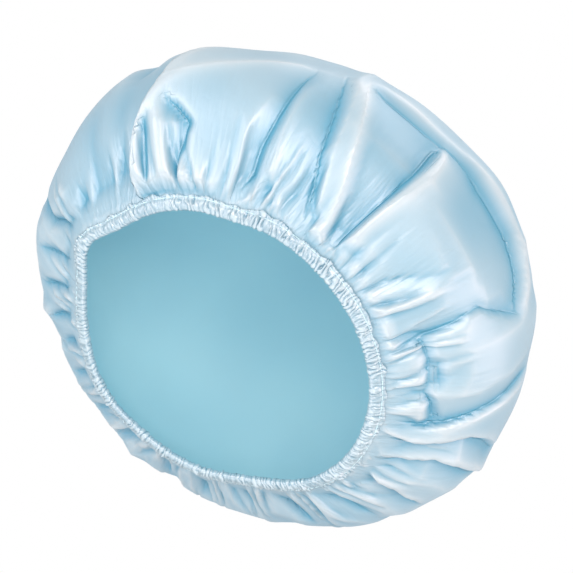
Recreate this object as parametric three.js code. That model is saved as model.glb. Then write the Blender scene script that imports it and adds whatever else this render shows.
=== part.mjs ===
// A lined shower cap, crown up as worn, standing on its hem.
// Two round cloths, an outer one and a lining, are sewn edge to edge into a folded binding strip.
// The binding is also the casing of a flat elastic, which draws the edge in and gathers the outer cloth.
// Units are millimetres, +Z points out through the crown, and the hem stands on z = 0.
import * as THREE from 'three';

// Overall form, measured half way between the outer cloth's ridges and valleys
const OPENING_RADIUS = 84;
const BULGE_RADIUS = 142.5;
const BULGE_HEIGHT = 64;
const CROWN_HEIGHT = 96;
const HEM_SLOPE = THREE.MathUtils.degToRad(30);

// How far the cloth keeps its direction as it leaves the hem, nears the bulge and crosses the crown
const SKIRT_FLARE = 28;
const SKIRT_BELLY = 34;
const SHOULDER_RISE = 58;
const CROWN_FLAT = 86;

// Cloth, binding, elastic and thread
const CLOTH_THICKNESS = 0.5;
const LAYER_GAP = 0.3;
const BINDING_THICKNESS = 0.6;
const CASING_CLEARANCE = 0.3;
const ELASTIC_WIDTH = 4.2;
const ELASTIC_THICKNESS = 0.6;
const ELASTIC_LAP = 14;
const SEAM_WIDTH = 2.8;
const STITCH_INSET = 1.6;
const THREAD_RADIUS = 0.25;
const THREAD_CLEARANCE = 0.3;
const FOOT_CUT = 0.5;

// Slack of the two cloths: how far the outer one may dip between its ridges, how far the lining hangs clear
// of it, how far the outer one puffs out at the bulge, and the reach from the hem over which each grows
const FOLD_DIP = 7;
const DIP_REACH = 35;
const LINING_EASE = 8.4;
const EASE_REACH = 32;
const PUFF = 1;
const PUFF_REACH = 95;

// Small even gathers of the outer cloth at the hem
const GATHERS = 32;
const GATHER_DEPTH = 2.2;
const GATHER_RISE = 14;
const GATHER_REACH = 48;

// Broad folds of the outer cloth, a ridge where height is above 0 and a valley where it is below. Each runs
// from its angle at the hem to its angle at its end, between two distances from the hem, and before and after
// are its half widths in degrees.
const FOLD_RISE = 14;
const FOLD_FADE = 28;
const FOLDS = [
  { at: 207, to: 219, start: 0, end: 92, height: 9, before: 4, after: 24 },
  { at: 202, to: 213, start: 0, end: 92, height: -4, before: 8, after: 4 },
  { at: 219.5, to: 218, start: 2, end: 56, height: -3.5, before: 5, after: 4 },
  { at: 240, to: 244, start: 0, end: 96, height: -4, before: 6, after: 5 },
  { at: 261, to: 250, start: 0, end: 104, height: -4.5, before: 7, after: 6 },
  { at: 266, to: 255, start: 4, end: 108, height: 4, before: 5, after: 5 },
  { at: 272, to: 274, start: 4, end: 100, height: -4, before: 6, after: 5 },
  { at: 276, to: 276, start: 20, end: 108, height: 5.8, before: 6, after: 6 },
  { at: 286, to: 298, start: 30, end: 106, height: -5.5, before: 11, after: 13 },
  { at: 297, to: 297, start: 2, end: 52, height: 3, before: 4, after: 6 },
  { at: 309, to: 306, start: 10, end: 62, height: -3, before: 6, after: 4 },
  { at: 306, to: 313, start: 54, end: 92, height: -2.5, before: 5, after: 4 },
  { at: 335, to: 331, start: 2, end: 108, height: -3, before: 6, after: 4 },
  { at: 343, to: 351, start: 0, end: 98, height: -4, before: 5, after: 6 },
  { at: 350, to: 358, start: 0, end: 96, height: -4, before: 5, after: 5 },
  { at: 0, to: 8, start: 0, end: 70, height: -3.6, before: 5, after: 5 },
  { at: 20, to: 17, start: 0, end: 56, height: -3, before: 5, after: 5 },
  { at: 38, to: 35, start: 0, end: 54, height: -4, before: 5, after: 5 },
  { at: 52, to: 50, start: 0, end: 42, height: -3, before: 5, after: 5 },
  { at: 66, to: 67, start: 0, end: 48, height: -3.2, before: 5, after: 5 },
  { at: 80, to: 79, start: 0, end: 52, height: -3.4, before: 5, after: 5 },
  { at: 93, to: 95, start: 0, end: 46, height: -3, before: 5, after: 5 },
  { at: 105, to: 104, start: 0, end: 56, height: -3.6, before: 5, after: 5 },
  { at: 118, to: 116, start: 0, end: 50, height: -3.2, before: 5, after: 5 },
  { at: 131, to: 128, start: 0, end: 48, height: -3.4, before: 5, after: 5 },
  { at: 143, to: 134, start: 0, end: 56, height: -3.8, before: 5, after: 5 },
  { at: 154, to: 143, start: 0, end: 58, height: -3.8, before: 5, after: 5 },
  { at: 165, to: 152, start: 0, end: 62, height: -3.8, before: 5, after: 5 },
  { at: 174, to: 160, start: 0, end: 82, height: -4.2, before: 5, after: 5 },
  { at: 180, to: 182, start: 44, end: 112, height: 1.8, before: 7, after: 6 },
  { at: 188, to: 189, start: 0, end: 84, height: -3, before: 6, after: 6 },
  { at: 197, to: 199, start: 0, end: 86, height: -2.6, before: 6, after: 6 },
];

// Where both cloths depart from a round cap: middle and spread in degrees and in distance from the hem
const SWELLS = [
  { at: 236, wide: 20, above: 114, high: 36, height: -5 },
  { at: 293, wide: 18, above: 122, high: 40, height: 4 },
  { at: 192, wide: 9, above: 100, high: 30, height: 3 },
  { at: 355, wide: 9, above: 90, high: 30, height: 2.6 },
  { at: 318, wide: 10, above: 110, high: 30, height: 2.2 },
  { at: 155, wide: 7, above: 60, high: 25, height: 2.6 },
  { at: 173, wide: 8, above: 74, high: 25, height: -1.8 },
  { at: 126, wide: 5, above: 50, high: 20, height: -3 },
  { at: 89, wide: 6, above: 42, high: 20, height: 2 },
];

// Slow waves of the slack outer cloth: their count round the cap, their height, how fast their phase turns on
// the way up and where it starts; they grow between two distances from the hem and die out between two more
const SLACK_WAVES = [
  { count: 3, height: 1.1, climb: 0.021, phase: 0.87 },
  { count: 5, height: 0.9, climb: -0.034, phase: 1.82 },
  { count: 8, height: 0.7, climb: 0.052, phase: 4.43 },
  { count: 13, height: 0.5, climb: -0.071, phase: 0.72 },
];
const SLACK_FROM = 32;
const SLACK_FULL = 82;
const SLACK_FADE = 162;
const SLACK_END = 257;

// Where the relaxed hem lies off its circle: middle and spread in degrees, and how far out it is pulled. The
// cloths follow it and are round again at the end of the fade.
const HEM_PULLS = [
  { at: 174, wide: 11, reach: 7 },
  { at: 113, wide: 16, reach: 3.5 },
  { at: 45, wide: 20, reach: -5.5 },
  { at: 239, wide: 10, reach: -2 },
];
const PULL_FADE = 42;

// Puckers of the binding between the stitches
const PUCKERS = 64;
const PUCKER_DEPTH = 1.3;
const PUCKER_AT_STITCH = 0.25;
const PUCKER_AT_LIP = 0.6;

// Facets along the cloth; the binding has two columns to each of the cloth's, so that both bend at one place
const SKIRT_STRIPS = 5;
const CROWN_STRIPS = 6;

const CLOTH_COLUMNS = 2 * GATHERS;
const BINDING_COLUMNS = 2 * PUCKERS;

// Section of the hem: u runs along the binding from its fold, v runs outwards across it
const alongR = Math.cos(HEM_SLOPE);
const alongZ = Math.sin(HEM_SLOPE);
const thickestLayer = Math.max(CLOTH_THICKNESS, ELASTIC_THICKNESS);
const casingHalf = thickestLayer + LAYER_GAP / 2 + CASING_CLEARANCE;
const bindingHalf = casingHalf + BINDING_THICKNESS;
const elasticStart = BINDING_THICKNESS + CASING_CLEARANCE;
const elasticEnd = elasticStart + ELASTIC_WIDTH;
const clothStart = elasticEnd + CASING_CLEARANCE;
const bindingEnd = clothStart + SEAM_WIDTH;
const stitchAt = bindingEnd - STITCH_INSET;
// The puckers lie far enough from the fold to stay above the flat cut
const puckerClear = (FOOT_CUT + PUCKER_DEPTH * alongR) / alongZ + CASING_CLEARANCE;
const puckerAt = Math.max((elasticStart + elasticEnd) / 2, puckerClear);
const noseHalf = 0.55 * bindingHalf;
const noseBevel = BINDING_THICKNESS + CASING_CLEARANCE;
const liningDepth = CLOTH_THICKNESS + LAYER_GAP / 2;

const foldRadius = OPENING_RADIUS + noseHalf * alongZ;
const foldHeight = bindingHalf * alongR - FOOT_CUT;

// Radius and height of a point of the hem section
function hemPoint(u, v) {
  return {
    r: foldRadius + u * alongR + v * alongZ,
    z: foldHeight + u * alongZ - v * alongR,
  };
}

// Shortest signed angle between two angles in degrees
function angleApart(a, b) {
  return THREE.MathUtils.euclideanModulo(a - b + 180, 360) - 180;
}

// How far the hem is pulled off its circle at a column of the cloth
function columnPull(column) {
  const angle = (360 * column) / CLOTH_COLUMNS;
  return HEM_PULLS.reduce((sum, { at, wide, reach }) => (
    sum + reach * Math.exp(-((angleApart(angle, at) / wide) ** 2))
  ), 0);
}

// The same at an angle in radians, straight between two columns, so that all pieces of the hem keep apart
function hemPull(angle) {
  const place = (angle / (2 * Math.PI)) * CLOTH_COLUMNS;
  const column = Math.floor(place);
  return THREE.MathUtils.lerp(columnPull(column), columnPull(column + 1), place - column);
}

// A point at radius r and height z, turned round the cap's axis; follow is its share of the hem's pull
function turned(r, z, angle, follow = 1) {
  const radius = r + follow * hemPull(angle);
  return [radius * Math.cos(angle), radius * Math.sin(angle), z];
}

// The cloth's meridian: straight in the seam, then one curve to the bulge and one over the crown
function clothMeridian() {
  const lip = hemPoint(bindingEnd, 0);
  const crownZ = BULGE_HEIGHT + CROWN_HEIGHT;
  const skirt = new THREE.CubicBezierCurve(
    new THREE.Vector2(lip.r, lip.z),
    new THREE.Vector2(lip.r + SKIRT_FLARE * alongR, lip.z + SKIRT_FLARE * alongZ),
    new THREE.Vector2(BULGE_RADIUS, BULGE_HEIGHT - SKIRT_BELLY),
    new THREE.Vector2(BULGE_RADIUS, BULGE_HEIGHT),
  );
  const crown = new THREE.CubicBezierCurve(
    new THREE.Vector2(BULGE_RADIUS, BULGE_HEIGHT),
    new THREE.Vector2(BULGE_RADIUS, BULGE_HEIGHT + SHOULDER_RISE),
    new THREE.Vector2(CROWN_FLAT, crownZ),
    new THREE.Vector2(0, crownZ),
  );
  return { lip, skirt, crown };
}

// Stations of the meridian from the cloth's edge to the pole. Each has its outward normal, its distance
// from the hem's lip, and every, the step in columns: the smooth crown takes every second column.
function clothStations() {
  const { lip, skirt, crown } = clothMeridian();
  const edge = hemPoint(clothStart, 0);
  const stations = [
    { r: edge.r, z: edge.z, nr: alongZ, nz: -alongR, s: 0, every: 1 },
    { r: lip.r, z: lip.z, nr: alongZ, nz: -alongR, s: 0, every: 1 },
  ];
  const addCurve = (curve, strips, start, every) => {
    const length = curve.getLength();
    for (let i = 1; i <= strips; i += 1) {
      const t = i / strips;
      const point = curve.getPointAt(t);
      const tangent = curve.getTangentAt(t);
      stations.push({ r: point.x, z: point.y, nr: tangent.y, nz: -tangent.x, s: start + t * length, every });
    }
  };
  addCurve(skirt, SKIRT_STRIPS, 0, 1);
  addCurve(crown, CROWN_STRIPS, skirt.getLength(), 2);
  const pole = stations.at(-1);
  Object.assign(pole, { r: 0, nr: 0, nz: 1, every: CLOTH_COLUMNS });
  return stations;
}

const { smoothstep } = THREE.MathUtils;

// Height of one broad fold at an angle and at a distance from the hem
function foldLift(fold, angle, s) {
  const run = THREE.MathUtils.clamp((s - fold.start) / (fold.end - fold.start), 0, 1);
  const turn = angleApart(fold.to, fold.at);
  const apart = angleApart(angle, fold.at + run * turn);
  const across = 1 - Math.abs(apart) / (apart < 0 ? fold.before : fold.after);
  const growing = smoothstep(s, fold.start - 2, fold.start + FOLD_RISE);
  const dying = smoothstep(s, fold.end + 8 - FOLD_FADE, fold.end + 8);
  return Math.max(across, 0) * fold.height * growing * (1 - dying);
}

// Height of the slack cloth's slow waves at an angle and at a distance from the hem
function slackLift(angle, s) {
  const turn = THREE.MathUtils.degToRad(angle);
  const lift = SLACK_WAVES.reduce((sum, { count, height, climb, phase }) => (
    sum + height * Math.sin(count * turn + climb * s + phase)
  ), 0);
  return lift * smoothstep(s, SLACK_FROM, SLACK_FULL) * (1 - smoothstep(s, SLACK_FADE, SLACK_END));
}

// How far the outer cloth stands out, or dips in, at a column and at a distance from the hem
function gatherLift(column, s) {
  const angle = (360 * column) / CLOTH_COLUMNS;
  const crest = (column % 2) - 0.5;
  const swing = 0.65 + 0.35 * Math.sin(2.4 * column);
  const dying = smoothstep(s, GATHER_RISE, GATHER_REACH);
  let lift = crest * swing * GATHER_DEPTH * smoothstep(s, 0, GATHER_RISE) * (1 - dying);
  lift += PUFF * smoothstep(s, DIP_REACH, PUFF_REACH) * (1 - smoothstep(s, 2 * PUFF_REACH, 2.6 * PUFF_REACH));
  lift += slackLift(angle, s);
  FOLDS.forEach((fold) => {
    lift += foldLift(fold, angle, s);
  });
  return Math.max(lift * smoothstep(s, 0, 10), -FOLD_DIP * smoothstep(s, 0, DIP_REACH));
}

// How far both cloths depart from a round cap
function swellLift(column, s) {
  const angle = (360 * column) / CLOTH_COLUMNS;
  let lift = 0;
  SWELLS.forEach(({ at, wide, above, high, height }) => {
    lift += height * Math.exp(-((angleApart(angle, at) / wide) ** 2) - ((s - above) / high) ** 2);
  });
  return lift * smoothstep(s, 0, 20);
}

function outerLift(column, s) {
  return LAYER_GAP / 2 + gatherLift(column, s) + swellLift(column, s);
}

function liningLift(column, s) {
  return -liningDepth - LINING_EASE * smoothstep(s, 0, EASE_REACH) + swellLift(column, s);
}

function indexedGeometry(positions, indices) {
  const geometry = new THREE.BufferGeometry();
  geometry.setAttribute('position', new THREE.Float32BufferAttribute(positions, 3));
  geometry.setIndex(indices);
  geometry.computeVertexNormals();
  return geometry;
}

function addQuad(indices, a, b, c, d) {
  indices.push(a, b, c, a, c, d);
}

// Triangles between two rings of vertices; the upper ring has as many vertices, half as many, or one
function joinRings(lower, upper) {
  const triangles = [];
  const share = upper.length / lower.length;
  lower.forEach((here, i) => {
    const next = lower[(i + 1) % lower.length];
    const above = upper[Math.floor(i * share)];
    const aboveNext = upper[Math.floor((i + 1) * share) % upper.length];
    triangles.push([here, next, aboveNext]);
    if (aboveNext !== above) {
      triangles.push([here, aboveNext, above]);
    }
  });
  return triangles;
}

// A round cloth with an outer and an inner face, closed round its edge and over its pole.
// lift gives how far the inner face stands off the meridian at a column and a distance from the hem.
function clothGeometry(lift) {
  const stations = clothStations();
  const positions = [];
  const indices = [];
  const addRing = (station, face) => {
    const ring = [];
    for (let column = 0; column < CLOTH_COLUMNS; column += station.every) {
      const off = lift(column, station.s) + face;
      const angle = (2 * Math.PI * column) / CLOTH_COLUMNS;
      const follow = 1 - smoothstep(station.s, 2, PULL_FADE);
      ring.push(positions.length / 3);
      positions.push(...turned(station.r + station.nr * off, station.z + station.nz * off, angle, follow));
    }
    return ring;
  };
  const outer = stations.map((station) => addRing(station, CLOTH_THICKNESS));
  const inner = stations.map((station) => addRing(station, 0));
  for (let i = 0; i + 1 < stations.length; i += 1) {
    joinRings(outer[i], outer[i + 1]).forEach(([a, b, c]) => indices.push(a, b, c));
    joinRings(inner[i], inner[i + 1]).forEach(([a, b, c]) => indices.push(c, b, a));
  }
  joinRings(inner[0], outer[0]).forEach(([a, b, c]) => indices.push(a, b, c));
  return indexedGeometry(positions, indices);
}

// A closed section carried once round the cap; section gives its corners in u and v at a column
function ringGeometry(columns, section) {
  const positions = [];
  const indices = [];
  const corners = section(0).length;
  for (let column = 0; column < columns; column += 1) {
    const angle = (2 * Math.PI * column) / columns;
    for (const [u, v] of section(column)) {
      const point = hemPoint(u, v);
      positions.push(...turned(point.r, point.z, angle));
    }
  }
  const vertex = (column, corner) => (column % columns) * corners + (corner % corners);
  for (let column = 0; column < columns; column += 1) {
    for (let corner = 0; corner < corners; corner += 1) {
      addQuad(indices, vertex(column, corner), vertex(column + 1, corner),
        vertex(column + 1, corner + 1), vertex(column, corner + 1));
    }
  }
  return indexedGeometry(positions, indices);
}

// How far the binding puffs out at a column
function puckerLift(column) {
  const crest = column % 2;
  return crest * PUCKER_DEPTH * (0.8 + 0.2 * Math.sin(1.9 * column));
}

// The binding strip: a fold at the opening, two legs over the cloths' edges, and a flat cut where it stands
function bindingSection(column) {
  const puff = puckerLift(column);
  const outFace = (share) => bindingHalf + share * puff;
  return [
    [0, foldHeight / alongR],
    [FOOT_CUT / alongZ, bindingHalf],
    [puckerAt, outFace(1)],
    [stitchAt, outFace(PUCKER_AT_STITCH)],
    [bindingEnd, outFace(PUCKER_AT_LIP)],
    [bindingEnd, casingHalf],
    [BINDING_THICKNESS, casingHalf],
    [BINDING_THICKNESS, -casingHalf],
    [bindingEnd, -casingHalf],
    [bindingEnd, -outFace(PUCKER_AT_LIP)],
    [stitchAt, -outFace(PUCKER_AT_STITCH)],
    [puckerAt, -outFace(1)],
    [noseBevel, -bindingHalf],
    [0, -noseHalf],
  ];
}

// A seam thread laid along the stitch line, on the outer leg for side 1 and on the inner leg for side -1
function threadSection(column, side) {
  const bed = bindingHalf + PUCKER_AT_STITCH * puckerLift(column) + THREAD_CLEARANCE;
  const middle = side * (bed + THREAD_RADIUS);
  return [
    [stitchAt - THREAD_RADIUS, middle],
    [stitchAt, middle + THREAD_RADIUS],
    [stitchAt + THREAD_RADIUS, middle],
    [stitchAt, middle - THREAD_RADIUS],
  ];
}

function threadGeometry(side) {
  return ringGeometry(BINDING_COLUMNS, (column) => threadSection(column, side));
}

// The elastic: a flat strip once round the casing, rising by one layer so that its ends lap
function elasticGeometry() {
  const positions = [];
  const indices = [];
  const lapRadius = hemPoint(puckerAt, 0).r;
  const sweep = 2 * Math.PI + ELASTIC_LAP / lapRadius;
  const stepAngle = (2 * Math.PI) / CLOTH_COLUMNS;
  const steps = Math.ceil(sweep / stepAngle);
  const layerRise = ELASTIC_THICKNESS + LAYER_GAP;
  for (let step = 0; step <= steps; step += 1) {
    const angle = Math.min(step * stepAngle, sweep);
    const middle = layerRise * (angle / sweep - 0.5);
    const low = middle - ELASTIC_THICKNESS / 2;
    const high = middle + ELASTIC_THICKNESS / 2;
    for (const [u, v] of [[elasticStart, high], [elasticEnd, high], [elasticEnd, low], [elasticStart, low]]) {
      const point = hemPoint(u, v);
      positions.push(...turned(point.r, point.z, angle));
    }
  }
  for (let step = 0; step < steps; step += 1) {
    for (let corner = 0; corner < 4; corner += 1) {
      const next = (corner + 1) % 4;
      addQuad(indices, 4 * step + corner, 4 * step + 4 + corner, 4 * step + 4 + next, 4 * step + next);
    }
  }
  const last = 4 * steps;
  addQuad(indices, 0, 1, 2, 3);
  addQuad(indices, last + 3, last + 2, last + 1, last);
  return indexedGeometry(positions, indices);
}

function part(name, geometry, color, roughness) {
  const material = new THREE.MeshStandardMaterial({ color, roughness, metalness: 0 });
  const mesh = new THREE.Mesh(geometry, material);
  mesh.name = name;
  return mesh;
}

const showerCap = new THREE.Group();
showerCap.name = 'shower_cap';
showerCap.add(
  part('outer_shell', clothGeometry(outerLift), 0x8ec7db, 0.35),
  part('inner_liner', clothGeometry(liningLift), 0x8cc2d9, 0.55),
  part('hem_binding', ringGeometry(BINDING_COLUMNS, bindingSection), 0xb4d9e8, 0.4),
  part('elastic_band', elasticGeometry(), 0xf0f1ee, 0.8),
  part('hem_needle_thread', threadGeometry(1), 0xd8eaf2, 0.7),
  part('hem_bobbin_thread', threadGeometry(-1), 0xd8eaf2, 0.7),
);

export default showerCap;
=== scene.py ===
"""Looks of a lined shower cap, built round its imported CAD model.

Every piece is a surface worked out from the cap's meridian, the curve from the hem over the bulge to
the crown. Distances along it are counted from the fold of the hem binding. Angles go round the cap's
axis, from +X to +Y.
"""
import math
from collections import namedtuple

import bpy
import numpy as np
from bpy.props import FloatProperty, FloatVectorProperty, IntProperty, PointerProperty
from mathutils import Matrix, Vector


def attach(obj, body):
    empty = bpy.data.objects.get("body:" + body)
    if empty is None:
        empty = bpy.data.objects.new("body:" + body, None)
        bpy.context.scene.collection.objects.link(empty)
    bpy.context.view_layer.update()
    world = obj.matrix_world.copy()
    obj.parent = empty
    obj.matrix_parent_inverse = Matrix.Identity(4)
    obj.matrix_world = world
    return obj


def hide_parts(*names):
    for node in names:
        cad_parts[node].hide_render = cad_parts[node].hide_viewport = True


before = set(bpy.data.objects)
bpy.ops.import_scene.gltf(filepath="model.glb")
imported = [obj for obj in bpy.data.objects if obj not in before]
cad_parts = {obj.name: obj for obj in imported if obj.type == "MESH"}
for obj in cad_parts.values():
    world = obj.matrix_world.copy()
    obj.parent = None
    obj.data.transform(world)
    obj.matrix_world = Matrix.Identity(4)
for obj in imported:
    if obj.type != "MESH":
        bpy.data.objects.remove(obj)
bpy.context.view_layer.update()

bl_info = {
    "name": "Shower Cap",
    "version": (1, 0, 0),
    "blender": (4, 5, 0),
    "location": "3D View > Sidebar > Shower Cap",
    "description": "Builds a lined shower cap with a gathered elastic hem",
    "category": "Add Mesh",
}

MM = 0.001
BODY = "root"

# Added to a divisor that can come out as 0
TINY_LENGTH = 1e-9
TINY_AREA = 1e-12

# A crease of the outer cloth, up from the hem or round the cap. points are (degrees, millimetres from the
# binding's fold), height is outwards in millimetres, and before and after are the half widths on the side
# of the smaller and of the larger angle, or distance for one that runs round. soft rounds its edge, and
# it fades out over fade. lean is how far its crest slides sideways for each millimetre of its height, so
# that a fold laps over the next. rise is the distance over which it grows. flat gives straight flanks.
Crease = namedtuple("Crease", "points height before after soft fade lean rise flat",
                    defaults=(0.0, 2.0, False))

UP_CREASES = (
    # the big lobe that laps over its neighbour, and the wedge in its edge
    Crease(((207, 10), (208, 27), (209, 40), (211, 51), (215, 65), (217, 80), (220, 100), (223, 128)),
           9.0, 2.0, 26, 0.2, 80, -0.6),
    Crease(((204, 10), (205, 27), (206, 40), (208, 51), (211.5, 65), (213, 80), (216, 100), (219, 122)),
           -4.5, 12, 2.5, 0.3, 70),
    Crease(((211.5, 10), (212, 24), (212.3, 38), (213, 52)), -4.5, 2.6, 4, 0.3, 12),
    # the dark facet on the lobe
    Crease(((217, 10), (217, 30), (216, 58)), 2.5, 12, 5, 0.4, 14),
    Crease(((219.5, 11), (221.5, 30), (223, 44), (218, 57)), -4.0, 8, 3, 0.25, 12),
    # the long fold and the broad band right of it
    Crease(((239.5, 10), (242, 25), (241.5, 40), (242.5, 58), (243, 76), (244, 92)), -4.5, 8, 5, 0.3, 16),
    Crease(((247, 10), (247, 24)), -2.5, 3, 3, 0.3, 10),
    Crease(((261.5, 10), (257, 34), (254.5, 50), (252, 78), (250, 100)), -4.2, 18, 7, 0.1, 24, flat=True),
    # the bright ridge and the triangular facet beside it
    Crease(((267, 12), (266, 25), (263, 45), (257, 85), (254, 108)), 4.0, 9, 5, 0.3, 20),
    Crease(((272, 12), (273, 45), (274, 75), (274, 100)), -4.5, 34, 5, 0.1, 12, rise=12, flat=True),
    Crease(((275, 26), (277, 60), (277.5, 80), (276, 104)), 3.5, 4, 12, 0.3, 18),
    # the hollow facet on the right and the stripe and pinch below it
    Crease(((288, 55), (292, 70), (295, 85), (298, 104)), -2.0, 20, 25, 0.5, 20, rise=30),
    Crease(((296, 12), (297, 30), (297.5, 50)), 3.0, 3, 7, 0.3, 10),
    Crease(((309, 20), (307.5, 40), (306, 62)), -3.0, 9, 3, 0.25, 12),
    Crease(((306, 62), (309, 72), (313, 88)), -2.6, 6, 3, 0.25, 10),
    # the small puffs and the long crease at the lower right
    Crease(((327, 10), (325.5, 20), (325.5, 28)), -2.5, 4, 3, 0.3, 8),
    Crease(((336, 34), (334, 50), (332, 66), (331, 85), (331, 106)), -3.4, 16, 3, 0.06, 14, flat=True),
    Crease(((335, 10), (336, 22), (337, 36)), -3.2, 4, 4, 0.3, 8),
    Crease(((343, 10), (345, 25), (343, 40), (341.5, 58), (345, 76), (351, 94)),
           -4.2, 4, 15, 0.06, 12, flat=True),
    Crease(((348, 10), (353, 16), (352, 28), (350, 45), (351.5, 58), (354, 70), (358, 92)),
           -4.4, 4, 15, 0.06, 12, flat=True),
    Crease(((360, 10), (363, 25), (365, 42), (368, 64)), -3.8, 4, 12, 0.06, 14, flat=True),
    Crease(((366, 10), (368, 22)), -2.5, 3, 3, 0.3, 8),
    # the short folds along the bottom and up the left side
    Crease(((380, 10), (378, 30), (377, 52)), -3.0, 5, 5, 0.3, 14),
    Crease(((398, 10), (397, 25), (395, 48)), -4.2, 5, 4, 0.3, 14),
    Crease(((52, 10), (50, 34)), -3.0, 4, 4, 0.3, 14),
    Crease(((66, 10), (67, 40)), -3.2, 5, 4, 0.3, 16),
    Crease(((80, 10), (79, 46)), -3.4, 4, 6, 0.3, 16),
    Crease(((93, 10), (95, 38)), -3.0, 5, 4, 0.3, 14),
    Crease(((105, 10), (104, 50)), -3.6, 5, 5, 0.3, 16),
    Crease(((118, 10), (116, 44)), -3.2, 5, 4, 0.3, 14),
    Crease(((131, 10), (128, 40)), -3.4, 4, 5, 0.3, 14),
    Crease(((143, 10), (138, 25), (134, 50)), -3.8, 5, 4, 0.3, 14),
    Crease(((154, 10), (148, 25), (143, 52)), -3.8, 4, 5, 0.3, 14),
    Crease(((165, 10), (158, 26), (152, 56)), -3.8, 5, 5, 0.3, 16),
    Crease(((174, 10), (168, 30), (163, 46), (160, 76)), -4.2, 5, 4, 0.3, 16),
    Crease(((180, 10), (180, 34)), -2.6, 4, 4, 0.3, 14),
    Crease(((188, 10), (188, 40), (189, 80)), -3.0, 9, 8, 0.5, 20),
    Crease(((197, 10), (196.5, 40), (199, 84)), -2.6, 8, 8, 0.5, 20),
)

ROUND_CREASES = (
    # the sharp edge round the bulge above the two blue facets, and the crease along the top
    Crease(((256, 101), (266, 102), (276, 104), (283, 107)), -3.2, 30, 7, 0.08, 4, flat=True),
    Crease(((283, 107), (287, 105), (298, 105), (306, 98), (312, 88)), -5.0, 36, 8, 0.08, 4, flat=True),
    Crease(((212, 68), (222, 71), (231, 80), (240, 95)), 2.2, 7, 12, 0.2, 5),
    # two short creases that run round the cap, and the end of the puff beside them
    Crease(((308, 29), (316, 31), (324, 30)), -3.0, 4, 6, 0.3, 4),
    Crease(((317, 36), (324, 35.5)), -2.0, 3, 5, 0.3, 3),
    Crease(((325, 28), (329, 33), (334, 36)), -3.0, 4, 6, 0.3, 3),
)


def length(name, description, metres):
    """A property that holds a length."""
    return FloatProperty(name=name, description=description, default=metres, unit='LENGTH')


def slope(name, description, degrees):
    """A property that holds an angle."""
    return FloatProperty(name=name, description=description, default=np.radians(degrees), subtype='ANGLE')


def tint(name, description, *colour):
    """A property that holds a colour."""
    return FloatVectorProperty(name=name, description=description, default=colour, subtype='COLOR',
                               min=0, max=1)


class CapSizes(bpy.types.PropertyGroup):
    """Driving dimensions of the cap, after those of the part's source; the cloths are thinner here"""
    opening_radius: length("Opening radius", "Inner edge of the relaxed hem", 0.084)
    bulge_radius: length("Bulge radius", "Widest ring of the cloth, between its folds", 0.1425)
    bulge_height: length("Bulge height", "Widest ring above the plane of the hem", 0.064)
    crown_height: length("Crown height", "Crown above the widest ring", 0.096)
    hem_slope: slope("Hem slope", "Slope of the hem binding, outwards and up", 30)
    skirt_flare: length("Skirt flare", "How far the cloth keeps the hem's slope", 0.028)
    skirt_belly: length("Skirt belly", "How far the cloth runs upright below the bulge", 0.034)
    shoulder_rise: length("Shoulder rise", "How far the cloth runs upright above the bulge", 0.058)
    crown_flat: length("Crown flat", "How far out the crown stays level", 0.086)
    binding_width: length("Binding width", "From the binding's fold to its lip", 0.0082)
    binding_half: length("Binding half thickness", "Half the thickness of the folded binding", 0.00165)
    foot_cut: length("Foot cut", "How much of the binding's lowest edge is flat", 0.0005)
    cloth_start: length("Cloth start", "Edge of the cloths, from the binding's fold", 0.0054)
    cloth_gap: length("Cloth gap", "Gap between the outer cloth and the lining", 0.0003)
    cloth_thickness: length("Cloth thickness", "Thickness of the three cloths", 0.0003)
    elastic_width: length("Elastic width", "Width of the elastic", 0.0042)
    elastic_thickness: length("Elastic thickness", "Thickness of the elastic", 0.0006)
    elastic_middle: length("Elastic middle", "Middle of the elastic, from the binding's fold", 0.003)
    elastic_lap: length("Elastic lap", "How far the elastic's ends lap", 0.014)
    stitch_at: length("Stitch line", "Seam of the binding, from its fold", 0.0066)
    thread_radius: length("Thread radius", "Half the thickness of the seam thread", 0.00025)
    stitches: IntProperty(name="Stitches", description="Stitches round the hem", default=176, min=8)
    puckers: IntProperty(name="Puckers", description="Puckers round the binding", default=240, min=8)


class CapColours(bpy.types.PropertyGroup):
    """Colours of the cap's cloths, elastic and thread"""
    # The outer cloth's tone is mixed by its relief: its blue is painted shade in the folds, and its pale
    # tone a painted highlight on the ridges.
    film: tint("Outer cloth", "Blue of the outer cloth in its folds", 0.11, 0.44, 0.59)
    film_painted_highlight: tint("Outer cloth, pale", "Pale tone of the outer cloth on its ridges", 0.67, 0.745, 0.775)
    lining: tint("Lining", "Blue of the lining", 0.58, 0.78, 0.82)
    lining_pale: tint("Lining, pale", "Paler tone of the lining", 0.62, 0.81, 0.84)
    # The binding's blue is painted shade in the gaps between its puckers, and its pale tone painted glints
    # on their crests.
    binding: tint("Binding", "Blue of the hem binding between its puckers", 0.06, 0.29, 0.42)
    binding_painted_glint: tint("Binding, pale", "Paler tone of the binding on its puckers", 0.56, 0.70, 0.76)
    elastic: tint("Elastic", "Off-white of the elastic", 0.86, 0.87, 0.85)
    thread: tint("Thread", "Pale blue of the seam thread", 0.62, 0.80, 0.87)


class StageSettings(bpy.types.PropertyGroup):
    """Camera of the photograph"""
    distance: length("Distance", "Camera to the point that it turns about", 1.0)
    elevation: slope("Elevation", "Camera above the hem's plane; it looks up into the cap", -49.75)
    roll: slope("Roll", "Turn of the camera about its line of sight", 42.7)
    pivot_height: length("Pivot height", "Point that the camera turns about, above the hem's plane", 0.07)
    aim_right: length("Aim right", "Middle of the picture right of the pivot", 0.0037)
    aim_up: length("Aim up", "Middle of the picture above the pivot", 0.0028)
    lens: FloatProperty(name="Lens", description="Focal length in millimetres", default=112.8)


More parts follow.
